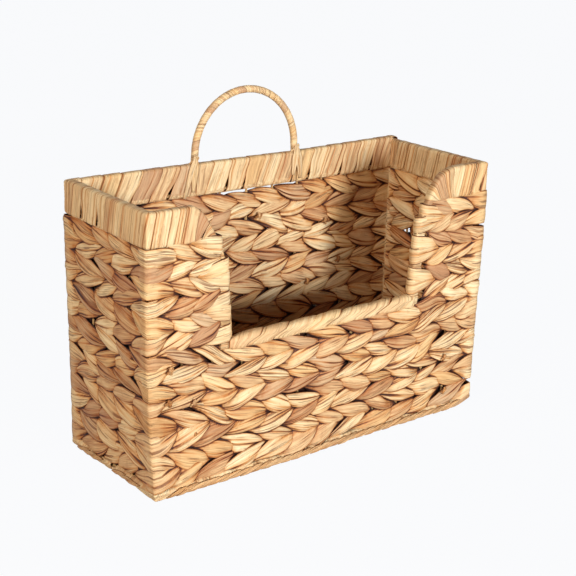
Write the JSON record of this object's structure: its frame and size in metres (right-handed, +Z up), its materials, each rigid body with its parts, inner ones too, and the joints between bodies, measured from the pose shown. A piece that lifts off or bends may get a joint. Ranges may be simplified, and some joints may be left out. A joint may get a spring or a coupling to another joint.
{
  "type": "magazine basket",
  "caption": "Rectangular magazine basket twined from dried plant stems on a wire frame, with a lowered front opening, a strip-wound rim and a round hanging hoop at the back.",
  "frame": {"origin": "middle of the basket's underside, on the surface it stands on", "axes": "+X along the basket's length, to the right for someone facing the open front; +Y from the open front to the back wall with the hoop; +Z up"},
  "size_m": [0.368, 0.135, 0.3108],
  "materials": {
    "twined_stem": "dried plant stem, flattened, matt",
    "wound_strip": "dried plant strip, matt",
    "hoop_strip": "narrow dried plant strip, slightly shiny",
    "wire": "dark lacquered wire"
  },
  "bodies": {
    "root": {"band_wire": "wire", "base_border_back": "wound_strip", "base_border_front": "wound_strip", "base_weaver": "twined_stem", "base_wire": "wire", "corner_post_back_left": "wire", "corner_post_back_right": "wire", "corner_post_front_left": "wire", "corner_post_front_right": "wire", "cross_stake_01": "wire", "cross_stake_02": "wire", "cross_stake_03": "wire", "cross_stake_04": "wire", "cross_stake_05": "wire", "cross_stake_06": "wire", "cross_stake_07": "wire", "cross_stake_08": "wire", "cross_stake_09": "wire", "cross_stake_10": "wire", "cross_stake_11": "wire", "hoop_wire": "wire", "hoop_wrap": "hoop_strip", "lip_wrap": "wound_strip", "opening_side_wrap_left": "wound_strip", "opening_side_wrap_right": "wound_strip", "rim_wire": "wire", "rim_wrap_back_left": "wound_strip", "rim_wrap_back_middle": "wound_strip", "rim_wrap_back_right": "wound_strip", "rim_wrap_front_left": "wound_strip", "rim_wrap_front_right": "wound_strip", "side_stake_left_1": "wire", "side_stake_left_2": "wire", "side_stake_left_3": "wire", "side_stake_right_1": "wire", "side_stake_right_2": "wire", "side_stake_right_3": "wire", "twined_course_01": "twined_stem", "twined_course_02": "twined_stem", "twined_course_03": "twined_stem", "twined_course_04": "twined_stem", "twined_course_05": "twined_stem", "twined_course_06": "twined_stem", "twined_course_07": "twined_stem", "twined_course_08": "twined_stem", "twined_course_09": "twined_stem", "twined_course_10": "twined_stem", "twined_course_11": "twined_stem", "twined_course_12": "twined_stem", "twined_course_13": "twined_stem", "twined_course_14": "twined_stem"}
  },
  "joints": []
}
